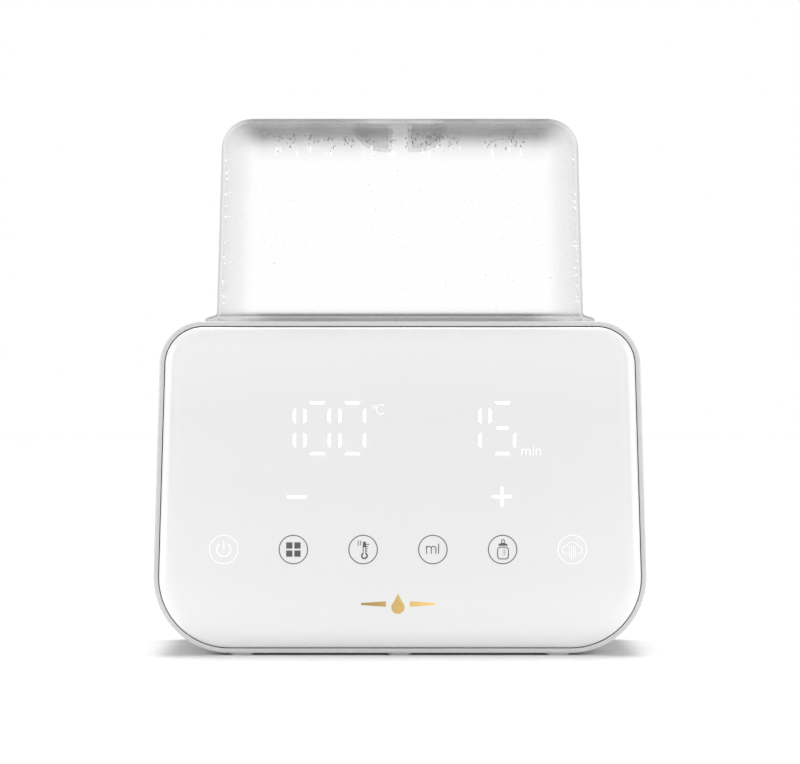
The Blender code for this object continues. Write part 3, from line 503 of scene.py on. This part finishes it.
# the white ink has a faint painted glow, which keeps it bright where it would fall into shade
WHITE_INK_PAINTED_GLOW = printed("white_ink_painted_glow", (0.88, 0.88, 0.88), glow=0.04)
DARK_INK = printed("dark_ink", (0.085, 0.08, 0.08))
GOLD_WITH_PAINTED_SHEEN = gold_foil_with_painted_sheen()
SLOT_FINISH = {
    "housing_grey": HOUSING,
    "cover_white": COVER,
    "panel_white": PANEL,
    "lid_clear": LID,
    "chamber_white": CHAMBER,
    "basket_sand": SAND,
    "rubber_grey": RUBBER,
    "silicone": SILICONE,
    "plate_coated": COATED,
    "steel": STEEL,
    "board_green": BOARD,
    "terminal_green": TERMINAL,
    "part_black": BLACK,
    "lead_red": RED,
    "lead_blue": BLUE,
    "lead_green": GREEN,
}


def finish_cad_nodes():
    """Every CAD node gets its slot's finish, smooth round faces and sharp edges between them."""
    slots = {s["node"]: s["material_slot"] for s in frame["record"]["subparts"]}
    for name, node in frame["nodes"].items():
        node.data.materials.clear()
        node.data.materials.append(SLOT_FINISH[slots[name]])
        for polygon in node.data.polygons:
            polygon.use_smooth = True
        weld = node.modifiers.new("weld", "WELD")
        weld.merge_threshold = 0.01 * MM
        split = node.modifiers.new("hard edges", "EDGE_SPLIT")
        split.split_angle = math.radians(38)


# ---------------------------------------------------------------- body


def make_housing():
    """The housing with the rims of its ends rounded, its mouth for the chamber and its openings
    below, and the four tabs that the base plate is screwed to."""
    edge = ((0.9, 0.0), (0.55, 0.08), (0.25, 0.28), (0.06, 0.6), (0.0, 1.0))
    front = [upright(body_outline(i), -HOUSING_HALF_DEPTH + d) for i, d in edge]
    back = [upright(body_outline(i), HOUSING_HALF_DEPTH - d) for i, d in reversed(edge)]
    inner = [
        upright(body_outline(HOUSING_WALL), y) for y in (HOUSING_HALF_DEPTH, -HOUSING_HALF_DEPTH)
    ]
    bm = skin([*front, *back, *inner, front[0]])
    bmesh.ops.remove_doubles(bm, verts=bm.verts, dist=0.0001)
    bmesh.ops.recalc_face_normals(bm, faces=bm.faces)
    housing = finished("housing_shell", bm, HOUSING, "base")
    mouth = rounded_rectangle(MOUTH_HALF_X, MOUTH_HALF_Y, MOUTH_HALF_Y - 0.1, 30)
    boolean(housing, skin([level(mouth, MOUTH_LOW), level(mouth, MOUTH_HIGH)], True, True))
    low = (-BASE_OPENING_HALF_X, -BASE_OPENING_HALF_Y, BELOW_FLOOR)
    high = (BASE_OPENING_HALF_X, BASE_OPENING_HALF_Y, BASE_OPENING_TOP)
    boolean(housing, box_bm(low, high))
    for x in (-FOOT_X, 0, FOOT_X):
        for y in (-FOOT_Y, FOOT_Y):
            low = (x - POCKET_HALF_SIDE, y - POCKET_HALF_SIDE, BELOW_FLOOR)
            high = (x + POCKET_HALF_SIDE, y + POCKET_HALF_SIDE, POCKET_TOP)
            boolean(housing, box_bm(low, high))
    applied(housing, 30)
    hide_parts("main_housing")
    for x in (-TAB_X, TAB_X):
        for y in (-1, 1):
            near, far = sorted((y * TAB_NEAR_Y, y * TAB_FAR_Y))
            low, high = (x - TAB_HALF_WIDTH, near, TAB_LOW), (x + TAB_HALF_WIDTH, far, TAB_HIGH)
            name = f"base_tab_{x}_{y}".replace("-", "m")
            bevel(finished(name, box_bm(low, high), HOUSING, "base"), 0.5)


def bevel(obj, width):
    modifier = obj.modifiers.new("edges", "BEVEL")
    modifier.width = width * MM
    modifier.segments = 3
    modifier.limit_method = "ANGLE"


def make_panel():
    """The glossy front, a shell that is crowned along its edge."""
    stand_out = -HOUSING_HALF_DEPTH - PANEL_FACE
    rings = [upright(body_outline(PANEL_INSET + 0.15), PANEL_BACK)]
    rings.append(upright(body_outline(PANEL_INSET), -HOUSING_HALF_DEPTH + 0.4))
    turns = 18
    for k in range(turns + 1):
        angle = math.pi / 2 * k / turns
        inset = PANEL_INSET + PANEL_CROWN_WIDTH * (1 - math.cos(angle)) ** PANEL_CROWN_POWER
        y = -HOUSING_HALF_DEPTH - stand_out * math.sin(angle)
        rings.append(upright(body_outline(inset), y))
    panel = finished("panel_shell", skin(rings, cap_last=True), PANEL, "base", 50)
    walled(panel, PANEL_WALL)
    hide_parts("front_panel")


# ---------------------------------------------------------------- panel graphics


def annulus(x, z, outer, inner, start=0, end=360, steps=64):
    """A ring, or part of one, as four-sided pieces."""
    angles = [math.radians(start + (end - start) * k / steps) for k in range(steps + 1)]
    spots = [(math.cos(a), math.sin(a)) for a in angles]
    return [
        [(x + r * c, z + r * s) for r, (c, s) in ((outer, a), (outer, b), (inner, b), (inner, a))]
        for a, b in zip(spots, spots[1:])
    ]


def disc(x, z, radius, steps=40):
    turn = [2 * math.pi * k / steps for k in range(steps)]
    return [[(x + radius * math.cos(a), z + radius * math.sin(a)) for a in turn]]


def line(points, width):
    """A stroke of straight pieces through the points, with a disc at each of them."""
    strokes = [shape for x, z in points for shape in disc(x, z, width / 2, 16)]
    for start, end in zip(points, points[1:]):
        start, end = Vector(start), Vector(end)
        along = (end - start).normalized() * width / 2
        side = Vector((-along.y, along.x))
        corners = (start - side, end - side, end + side, start + side)
        strokes.append([tuple(p) for p in corners])
    return strokes


def bar(x0, z0, x1, z1, width):
    """A straight stroke with round ends."""
    return line([(x0, z0), (x1, z1)], width)


def bow(x, z, radius_x, radius_z, start, end, steps=18):
    """Points along an arc of an ellipse."""
    angles = [math.radians(start + (end - start) * k / steps) for k in range(steps + 1)]
    return [(x + radius_x * math.cos(a), z + radius_z * math.sin(a)) for a in angles]


def letter_m(x, base, height, pitch, width):
    strokes = line([(x, base), (x, base + height)], width)
    for k in range(2):
        left, reach = x + k * pitch, pitch / 2
        arch = bow(left + reach, base + height - reach, reach, reach, 170, 0, 10)
        strokes += line([*arch, (left + pitch, base)], width)
    return strokes


def letter_n(x, base, height, pitch, width):
    arch = bow(x + pitch / 2, base + height - pitch / 2, pitch / 2, pitch / 2, 170, 0, 10)
    return line([(x, base), (x, base + height)], width) + line([*arch, (x + pitch, base)], width)


def mark(name, shapes, material, x=0.0, z=0.0):
    """Flat shapes on the panel, as one piece about a tenth of a millimetre thick at most. Each
    stands a hair in front of the last, so that no faces share a plane where strokes overlap."""
    bm = bmesh.new()
    for order, shape in enumerate(shapes):
        face_y = PANEL_FACE - PRINT_FRONT - PRINT_STEP * order
        corners = [bm.verts.new((x + px, face_y, z + pz)) for px, pz in shape]
        face = bm.faces.new(corners)
        face.normal_update()
        if face.normal.y > 0:
            face.normal_flip()
    made = bmesh.ops.extrude_face_region(bm, geom=list(bm.faces), use_keep_orig=True)
    for made_part in made["geom"]:
        if isinstance(made_part, bmesh.types.BMVert):
            made_part.co.y = PANEL_FACE - PRINT_BACK
    bmesh.ops.recalc_face_normals(bm, faces=bm.faces)
    return finished(name, bm, material, "base", 0)


def numeral(x, lit):
    """The lit segments of a display digit whose left edge is at x, by their usual letters."""
    low, high, wide, thick, cant = 100.1, 126.9, 13.7, 1.6, 1.25
    shapes = {
        "a": [(x + 2.8, high), (x + 11.1, high), (x + 9.9, high - thick), (x + 4.0, high - thick)],
        "d": [(x + 2.8, low), (x + 11.1, low), (x + 9.9, low + thick), (x + 4.0, low + thick)],
        "g": [(x + 3.6, 113.6), (x + 4.4, 114.4), (x + 9.4, 114.4), (x + 10.2, 113.6),
              (x + 9.4, 112.8), (x + 4.4, 112.8)],
    }
    for segment, side in (("f", 0), ("e", 0), ("b", 1), ("c", 1)):
        bottom, top = (115.7, 123.7) if segment in "fb" else (103.5, 111.4)
        out = x + wide * side
        into = out + thick * (1 - 2 * side)
        shapes[segment] = [(out, bottom), (out, top), (into, top - cant), (into, bottom + cant)]
    return [shapes[name] for name in lit]


def make_display():
    """Two groups of lit digits with their units, and a minus and a plus below them."""
    zero, one, five = "abcdef", "bc", "afgcd"
    digits = numeral(-65.6, one) + numeral(-48.2, zero) + numeral(-30.65, zero)
    mark("temperature_digits", digits, LIT)
    degree = annulus(-12.9, 124.3, 0.9, 0.66, steps=24)
    degree += line(bow(-9.6, 123.0, 2.2, 2.4, 46, 314), 0.36)
    mark("degree_sign", degree, LIT)
    mark("timer_digits", numeral(26.95, one) + numeral(44.25, five), LIT)
    unit = letter_m(60.8, 100.1, 3.0, 2.05, 0.36) + line([(66.6, 100.1), (66.6, 103.1)], 0.36)
    unit += disc(66.6, 104.4, 0.32, 12) + letter_n(68.0, 100.1, 3.0, 2.1, 0.36)
    mark("minutes_sign", unit, LIT)
    mark("minus_sign", bar(-4.3, 0, 4.3, 0, 1.7), LIT, x=-51.6, z=79.3)
    plus = bar(-4.3, 0, 4.3, 0, 1.7) + bar(0, -4.3, 0, 4.3, 1.7)
    mark("plus_sign", plus, LIT, x=50.75, z=79.4)


def icon_power():
    """A ring open at its top, with a stroke in the gap."""
    return annulus(0, 0, 3.75, 3.2, 124, 416, 48) + bar(0, 3.9, 0, 0.3, 0.6)


def icon_mode():
    """Four squares."""
    far, near = 3.6, 0.45
    outline = rounded_rectangle((far - near) / 2, (far - near) / 2, 0.15, 6)
    middle = (far + near) / 2
    centres = [(x, z) for x in (-middle, middle) for z in (-middle, middle)]
    return [[(p.x + x, p.y + z) for p in outline] for x, z in centres]


def icon_temperature():
    """A thermometer with its scale, and two waves of heat."""
    tube = line([(0.0, -1.9), (0.0, 2.2)], 0.46) + line([(1.3, 2.2), (1.3, -1.9)], 0.46)
    column = annulus(0.65, -3.1, 1.75, 0.95, 115, 425, 32) + bar(0.65, 1.9, 0.65, 3.3, 1.5)
    ticks = [shape for z, reach in ((2.6, 3.0), (1.4, 2.4), (0.4, 2.0), (-0.7, 2.0))
             for shape in bar(1.5, z, reach, z, 0.42)]
    heat = []
    for x in (-2.7, -1.5):
        wave = [(x + 0.22 * math.sin(k * 0.9) + 0.07 * k, 2.2 + k * 0.3) for k in range(8)]
        heat += line(wave, 0.36)
    return tube + column + ticks + heat


def icon_volume():
    """The sign for millilitres."""
    return letter_m(-3.1, -1.9, 3.5, 2.3, 0.48) + line([(2.85, -1.9), (2.85, 2.8)], 0.48)


def icon_bottle():
    """A feeding bottle with its collar, teat and scale."""
    outline = []
    for x, z, start in ((-1.0, -0.3, 180), (1.4, -0.3, 90), (1.4, -3.2, 0), (-1.0, -3.2, -90)):
        outline += bow(x, z, 1.5, 1.5, start, start - 90, 6)
    jar = line([*outline, outline[0]], 0.48)
    collar = [[(2.5, 1.9), *bow(0.2, 2.1, 2.3, 1.25, 0, 180, 14), (-2.1, 1.9)]]
    teat = line([(-0.5, 3.5), *bow(0.2, 4.3, 0.7, 0.75, 200, -20, 10), (0.9, 3.5)], 0.42)
    ticks = [shape for z in (0.3, -0.6, -1.5, -2.4) for shape in bar(0.5, z, 1.3, z, 0.25)]
    return jar + collar + teat + ticks


def icon_steam():
    """A cloud over four plumes of steam."""
    cloud = bow(-3.1, -0.1, 2.0, 1.9, 290, 95) + bow(0.0, 1.2, 2.7, 2.5, 160, 25)
    cloud += bow(3.0, -0.1, 1.9, 1.9, 85, -110)
    plumes = [shape for x, low in ((-1.5, -3.9), (-0.5, -4.7), (0.5, -4.7), (1.5, -3.9))
              for shape in bar(x, 1.5, x, low, 0.34)]
    return line(cloud, 0.42) + plumes


def make_keys():
    """The row of six ringed icons: the outer two white, the inner four in dark ink."""
    icons = (icon_power, icon_mode, icon_temperature, icon_volume, icon_bottle, icon_steam)
    for i, icon in enumerate(icons):
        lit = i in (0, 5)
        ink = WHITE_INK_PAINTED_GLOW if lit else DARK_INK
        ring = annulus(0, 0, 7.35, 6.9 if lit else 6.85)
        name = icon.__name__.replace("icon_", "")
        place = {"x": -88.0 + 34.8 * i, "z": 53.0}
        mark(f"key_ring_{name}", ring, ink, **place)
        mark(f"key_icon_{name}", icon(), ink, **place)


def make_badge():
    """A plain gold ornament: a drop between two tapering bars."""
    drop = bow(0, -1.6, 3.3, 3.3, 160, 380, 32) + [(1.6, 2.0), (0, 5.2), (-1.6, 2.0)]
    taper = ((6, -1.4), (18.5, -0.5), (18.5, 0.5), (6, 1.4))
    bars = [[(side * x, z) for x, z in taper] for side in (-1, 1)]
    mark("gold_badge", [drop, *bars], GOLD_WITH_PAINTED_SHEEN, x=-1.0, z=25.8)


# ---------------------------------------------------------------- lid


def lid_sections():
    """The lid's outside from its foot up: heights, insets from the wall's foot, corner radii."""
    flare = (
        (0, 6.0), (1.4, 6.0), (2.2, 4.4), (2.6, 2.6), (2.9, 1.6), (3.35, 0.85), (4.0, 0.3),
        (5.0, 0.05), (8.7, 0.0),
    )
    sections = [(LID_LOW + rise, -spread, LID_RADIUS + spread) for rise, spread in flare]
    wall_height = LID_SHOULDER - LID_WALL_LOW
    steps = 8
    for k in range(1, steps):
        rise = wall_height * k / steps
        sections.append((LID_WALL_LOW + rise, rise * LID_DRAFT, LID_RADIUS))
    turns = 16
    for k in range(turns + 1):
        angle = math.pi / 2 * k / turns
        inset = wall_height * LID_DRAFT + LID_ROUNDING * (1 - math.cos(angle))
        height = LID_SHOULDER + LID_ROUNDING * math.sin(angle)
        sections.append((height, inset, LID_RADIUS - inset))
    return sections


def dip_tool(side, grown):
    """An egg-shaped scoop into the lid's top that stops at the grip, made larger by grown."""
    radii = [radius + grown for radius in DIP_RADII]
    tool = ball_bm((side * DIP_CENTRE, 0, LID_HIGH), radii)
    trim(tool, (side * (GRIP_HALF_WIDTH - grown), 0, 0), (-side, 0, 0))
    return tool


def make_lid():
    """The clear shell, with its two finger dips and their steam holes."""
    rings = [
        level(rounded_rectangle(LID_HALF_X - inset, LID_HALF_Y - inset, radius), height)
        for height, inset, radius in lid_sections()
    ]
    edge_x, edge_y = max(p.x for p in rings[-1]), max(p.y for p in rings[-1])
    for share in (0.75, 0.5, 0.25):
        outline = rounded_rectangle(edge_x * share, edge_y * share, 6 * share)
        rings.append(level(outline, LID_HIGH - LID_CROWN * share**2))
    lid = finished("lid_shell", skin(rings, cap_last=True), LID, "lid")
    lid.data.materials.append(LID_INSIDE)
    walled(lid, LID_WALL)
    lid.modifiers["wall"].material_offset = 1
    for side in (-1, 1):
        dip_wall = dip_tool(side, LID_WALL)
        trim(dip_wall, (0, 0, LID_HIGH - DIP_WALL_TOP), (0, 0, 1))
        boolean(lid, dip_wall, "UNION")
    for side in (-1, 1):
        boolean(lid, dip_tool(side, 0))
    for x in (-STEAM_HOLE_X, STEAM_HOLE_X):
        hole = [Vector((p.x + x, p.y)) for p in rounded_rectangle(1.5, 1.5, 1.49, 6)]
        boolean(lid, skin([level(hole, LID_HIGH - 30), level(hole, LID_HIGH)], True, True))
    applied(lid, 32)
    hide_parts("lid")


def wall_y(z):
    """The depth of the lid's front inner face at a height, with room for the drops on it."""
    inner_rounding = LID_ROUNDING - LID_WALL
    rise = max(0.0, z - LID_SHOULDER)
    turned = inner_rounding - math.sqrt(max(0.0, inner_rounding**2 - rise**2))
    return -(LID_HALF_Y - (z - LID_WALL_LOW) * LID_DRAFT) + LID_WALL + DROP_ROOM + turned


def corner_spot(side, turn, z):
    """A place on the inside of one of the lid's front corners, by its turn away from the side."""
    inward, turn = (z - LID_WALL_LOW) * LID_DRAFT + LID_RADIUS, math.radians(turn)
    reach = LID_RADIUS - LID_WALL - 2 * DROP_ROOM
    x = LID_HALF_X - inward + reach * math.cos(turn)
    return side * x, -(LID_HALF_Y - inward + reach * math.sin(turn))


def beads(name, spots, material):
    """Flattened drops against the lid's inner face: (x, y, z, radius, stretch in height)."""
    bm = bmesh.new()
    for x, y, z, radius, stretch in spots:
        made = bmesh.ops.create_icosphere(bm, subdivisions=1, radius=1)["verts"]
        size = Matrix.Diagonal((radius, radius * 0.55, radius * stretch, 1))
        bmesh.ops.transform(bm, matrix=Matrix.Translation((x, y, z)) @ size, verts=made)
    return finished(name, bm, material, "lid", 180)


def make_condensation():
    """Steam on the inside of the lid: fine drops high up, runs below them, ticks by the sides."""
    rng = random.Random(7)
    drops, runs = [], []
    for _ in range(200):  # fine drops in groups, high on the front
        x, z = rng.choice(CLUSTERS) + rng.gauss(0, 1.8), 258.5 + rng.gauss(0, 2.6)
        drops.append((x, wall_y(z), z, rng.uniform(0.2, 0.5), rng.uniform(1, 2.2)))
    for _ in range(26):  # lone drops below them
        x, z = rng.uniform(-84, 84), rng.uniform(180, 246)
        drops.append((x, wall_y(z), z, rng.uniform(0.12, 0.25), rng.uniform(1, 1.6)))
    for _ in range(60):  # runs from the groups
        x, z = rng.choice(CLUSTERS) + rng.gauss(0, 1.5), 252 + rng.gauss(0, 2.5)
        runs.append((x, wall_y(z), z, rng.uniform(0.1, 0.3), rng.uniform(2, 10)))
    for side in (-1, 1):
        for _ in range(16):  # short rows of specks round the front corners
            height, start = rng.uniform(176, 256), rng.uniform(4, 16)
            slope = rng.uniform(-0.12, 0.16)
            for k in range(10):
                z = height + k * slope + rng.uniform(-0.2, 0.2)
                x, depth = corner_spot(side, start + 2.6 * k, z)
                size = rng.uniform(0.25, 0.45) if k in (2, 3) else rng.uniform(0.06, 0.2)
                runs.append((x, depth, z, size, rng.uniform(0.6, 1.6)))
        for _ in range(90):  # lone specks there
            z = rng.uniform(175, 258)
            x, depth = corner_spot(side, abs(rng.gauss(0, 22)) + 5, z)
            rng.choice((drops, runs)).append((x, depth, z, rng.uniform(0.1, 0.22), 1))
    beads("lid_drops", drops, DROPS)
    # the runs and specks carry painted glints
    beads("lid_runs_painted_glints", runs, RUNS_PAINTED_GLINTS)


# ---------------------------------------------------------------- stage


def placed(name, data, place, turn=(0, 0, 0)):
    obj = bpy.data.objects.new(name, data)
    obj.location, obj.rotation_euler = place, turn
    bpy.context.scene.collection.objects.link(obj)
    return obj


def area_light(name, place, size, power):
    """A square lamp that faces the middle of the body."""
    light = bpy.data.lights.new(name, "AREA")
    light.size, light.energy = size, power
    toward = Vector((0, 0, 0.1)) - Vector(place)
    placed(name, light, place, toward.to_track_quat("-Z", "Y").to_euler())


def make_surround():
    """A white surround: full strength to the camera, and a weaker one as a light."""
    world = bpy.data.worlds.new("surround")
    bpy.context.scene.world = world
    world.use_nodes = True
    background = world.node_tree.nodes["Background"]
    background.inputs["Color"].default_value = (1, 1, 1, 1)
    path = world.node_tree.nodes.new("ShaderNodeLightPath")
    strength = world.node_tree.nodes.new("ShaderNodeMapRange")
    strength.inputs["To Min"].default_value = SURROUND_AS_LIGHT
    strength.inputs["To Max"].default_value = SURROUND_AS_SEEN
    world.node_tree.links.new(path.outputs["Is Camera Ray"], strength.inputs["Value"])
    world.node_tree.links.new(strength.outputs["Result"], background.inputs["Strength"])


def make_stage():
    """A plain pale floor under a white surround, soft lights and the camera."""
    bm = bmesh.new()
    bmesh.ops.create_grid(bm, x_segments=1, y_segments=1, size=FLOOR_HALF_SIDE)
    floor = finished("floor", bm, moulded("floor_white", (0.78, 0.78, 0.78), 0.9), None, 0)
    make_surround()
    sun = bpy.data.lights.new("overhead", "SUN")
    sun.energy, sun.angle = 3.3, math.radians(36)
    placed("overhead", sun, (0, 0, 0), (math.radians(-15), 0, 0))
    area_light("left_box", (-1.1, -0.4, 0.3), size=0.9, power=7.4)
    area_light("right_box", (1.1, -0.4, 0.3), size=0.9, power=7.4)
    area_light("front_box", (0, -2.6, 0.55), size=3.2, power=28.0)
    camera = bpy.data.cameras.new("camera")
    camera.lens, camera.sensor_width, camera.clip_end = 198.4, 36, 100
    place = (0, PANEL_FACE * MM - CAMERA_DISTANCE, CAMERA_HEIGHT)
    bpy.context.scene.camera = placed("camera", camera, place, (math.pi / 2, 0, 0))
    bpy.context.scene.view_settings.view_transform = "Standard"


finish_cad_nodes()
make_housing()
make_panel()
make_display()
make_keys()
make_badge()
make_lid()
make_condensation()
make_stage()

bpy.context.view_layer.update()
